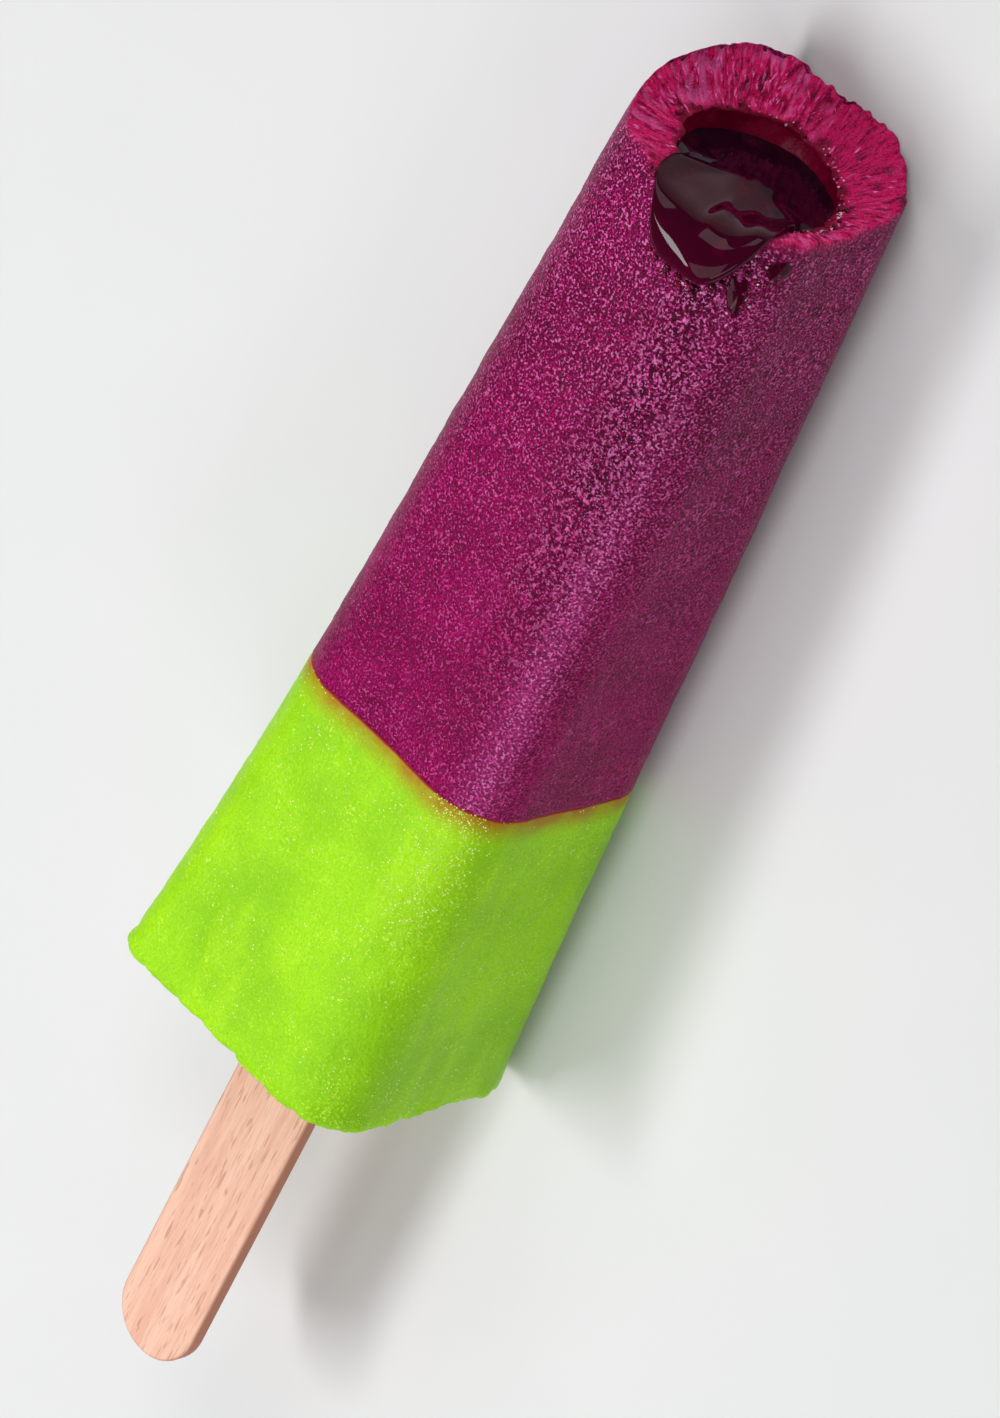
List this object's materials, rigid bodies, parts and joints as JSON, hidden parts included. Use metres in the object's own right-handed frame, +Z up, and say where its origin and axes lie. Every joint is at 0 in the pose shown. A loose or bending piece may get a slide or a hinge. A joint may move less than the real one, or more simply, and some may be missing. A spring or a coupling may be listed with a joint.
{
  "type": "ice lolly",
  "caption": "Bitten two-flavour ice lolly with a liquid berry core that drips over the bite, on a flat wooden stick.",
  "frame": {"origin": "on the surface that the lolly lies on, under the middle of its length and width", "axes": "+X along the lolly from the stick to the bitten tip, +Z up, out of the face that shows, and -Y towards the lolly's right side"},
  "size_m": [0.1482, 0.03, 0.0295],
  "materials": {
    "berry_ice": "frosted",
    "lime_ice": "frosted",
    "berry_sauce": "wet gloss",
    "stick": "bare, sanded"
  },
  "bodies": {
    "root": {"berry_ice": "berry_ice", "lime_ice": "lime_ice", "berry_sauce": "berry_sauce", "stick": "stick"}
  },
  "joints": []
}
